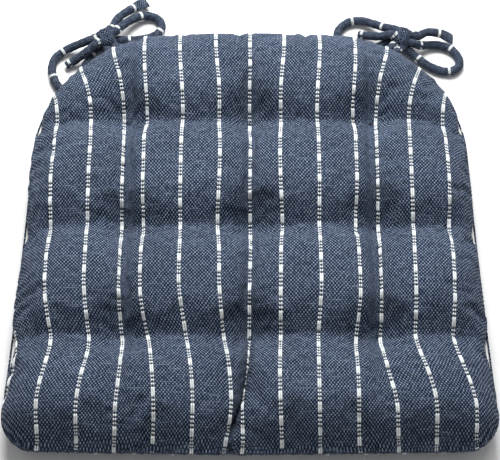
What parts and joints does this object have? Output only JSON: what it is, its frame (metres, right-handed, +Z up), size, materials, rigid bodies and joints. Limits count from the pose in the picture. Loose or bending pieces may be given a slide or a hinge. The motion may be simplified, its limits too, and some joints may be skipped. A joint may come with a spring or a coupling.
{
  "type": "chair seat pad",
  "caption": "Tufted dining chair seat pad in striped woven cloth, wider at the front, with a fabric tie bow at each rear corner.",
  "frame": {"origin": "middle of the pad's own box, on the surface that it lies on, without the tie bows", "axes": "+Y towards the back of the seat, where the bows are; +X to the right as seen from the front; +Z up"},
  "size_m": [0.4272, 0.4847, 0.06],
  "materials": {
    "cover_fabric": "coarse plain weave in navy with off-white dashed stripes",
    "tie_fabric": "turned tube of the cover cloth",
    "batting_fibre": "soft fibre",
    "core_foam": "soft foam",
    "tuft_twine": "waxed twine",
    "sewing_thread": "spun thread"
  },
  "bodies": {
    "pad": {"cover_top": "cover_fabric", "cover_bottom": "cover_fabric", "batting_top": "batting_fibre", "batting_bottom": "batting_fibre", "foam_core": "core_foam", "seam_thread": "sewing_thread", "tuft_front_left": "tuft_twine", "tuft_front_centre": "tuft_twine", "tuft_front_right": "tuft_twine", "tuft_middle_left": "tuft_twine", "tuft_middle_centre": "tuft_twine", "tuft_middle_right": "tuft_twine", "tuft_back_left": "tuft_twine", "tuft_back_centre": "tuft_twine", "tuft_back_right": "tuft_twine"},
    "left_bow": {"left_knot": "tie_fabric", "left_root_inner": "tie_fabric", "left_root_outer": "tie_fabric", "left_loop_inner": "tie_fabric", "left_loop_outer": "tie_fabric", "left_tail_inner": "tie_fabric", "left_tail_outer": "tie_fabric"},
    "right_bow": {"right_knot": "tie_fabric", "right_root_inner": "tie_fabric", "right_root_outer": "tie_fabric", "right_loop_inner": "tie_fabric", "right_loop_outer": "tie_fabric", "right_tail_inner": "tie_fabric", "right_tail_outer": "tie_fabric"}
  },
  "joints": [
    {"name": "left_bow_hinge", "type": "hinge", "parent": "pad", "child": "left_bow", "pos_m": [-0.13332, 0.19401, 0.0264], "axis": [0.8557, 0.5175, 0], "range_deg": [0, 90]},
    {"name": "right_bow_hinge", "type": "hinge", "parent": "pad", "child": "right_bow", "pos_m": [0.13332, 0.19401, 0.0264], "axis": [0.8557, -0.5175, 0], "range_deg": [0, 90]}
  ]
}
